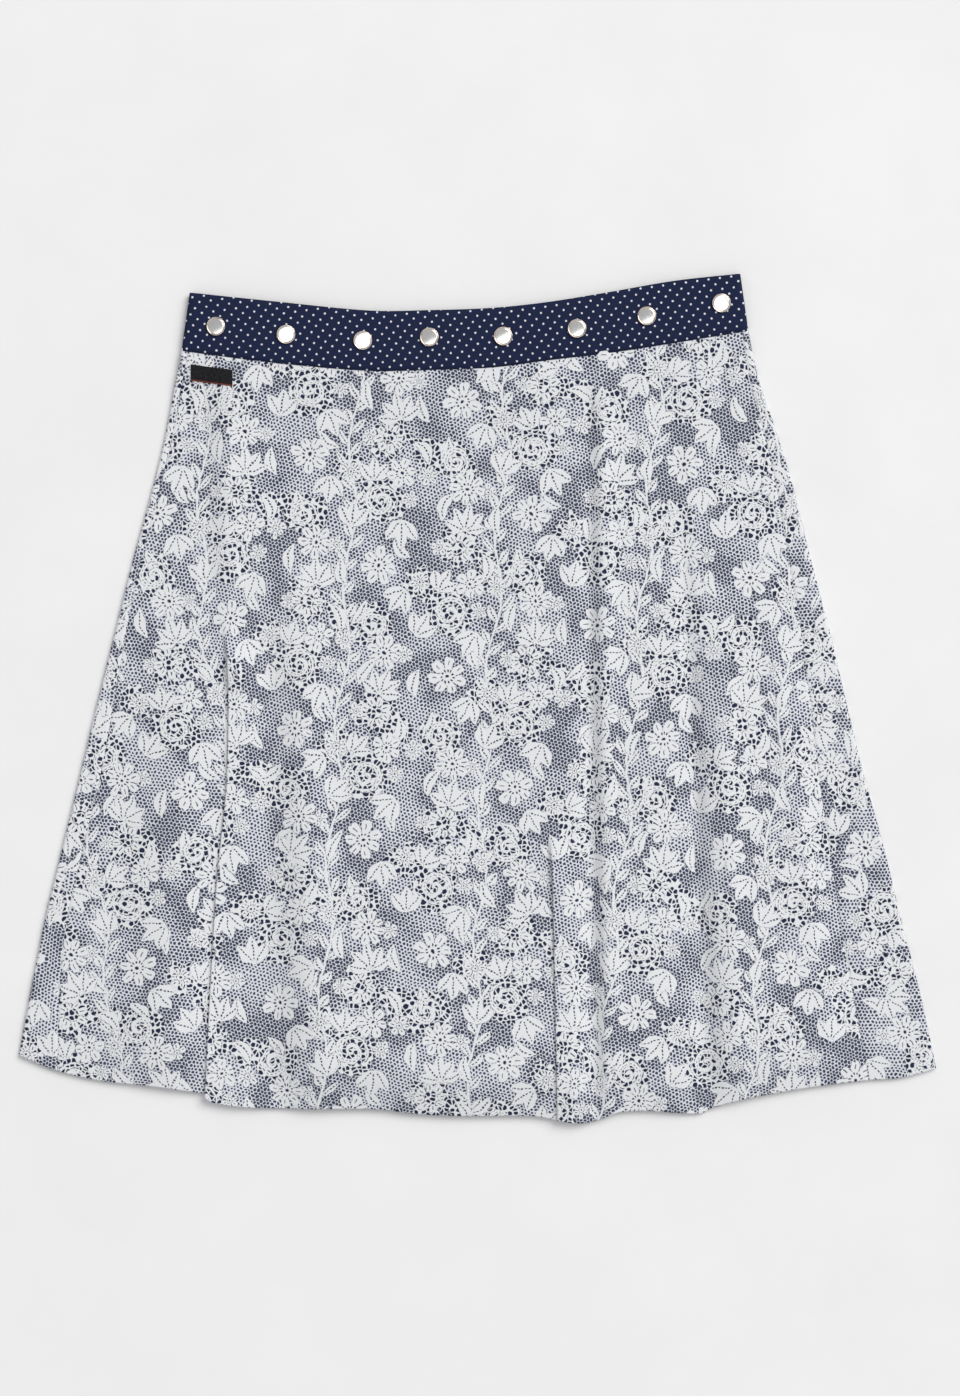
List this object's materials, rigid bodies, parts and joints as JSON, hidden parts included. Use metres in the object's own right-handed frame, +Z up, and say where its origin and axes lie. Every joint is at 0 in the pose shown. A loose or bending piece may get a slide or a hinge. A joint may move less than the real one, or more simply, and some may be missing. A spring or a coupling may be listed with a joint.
{
  "type": "wrap skirt",
  "caption": "Flared wrap skirt lying flat, lace-print panels on a spotted waistband with press studs.",
  "frame": {"origin": "centre of the skirt's outline, on the surface that it lies on", "axes": "+X to the right across the skirt as it is looked down on, +Y up towards the waistband, +Z up out of the surface"},
  "size_m": [0.66, 0.61, 0.0155],
  "materials": {
    "lace_print_cloth": "navy cotton with an off-white lace print, matt",
    "spotted_band_cloth": "navy cotton with small white spots, matt",
    "polished_steel": "polished nickel-plated press-stud cap",
    "black_woven_tape": "black woven tape, left blank"
  },
  "bodies": {
    "root": {"front_panel": "lace_print_cloth", "left_wrap_panel": "lace_print_cloth", "right_wrap_panel": "lace_print_cloth", "waistband": "spotted_band_cloth", "front_stud_1": "polished_steel", "front_stud_2": "polished_steel", "front_stud_3": "polished_steel", "front_stud_4": "polished_steel", "front_stud_5": "polished_steel", "front_stud_6": "polished_steel", "front_stud_7": "polished_steel", "front_stud_8": "polished_steel", "back_stud_1": "polished_steel", "back_stud_2": "polished_steel", "back_stud_3": "polished_steel", "back_stud_4": "polished_steel", "back_stud_5": "polished_steel", "back_stud_6": "polished_steel", "back_stud_7": "polished_steel", "back_stud_8": "polished_steel", "label": "black_woven_tape"}
  },
  "joints": []
}
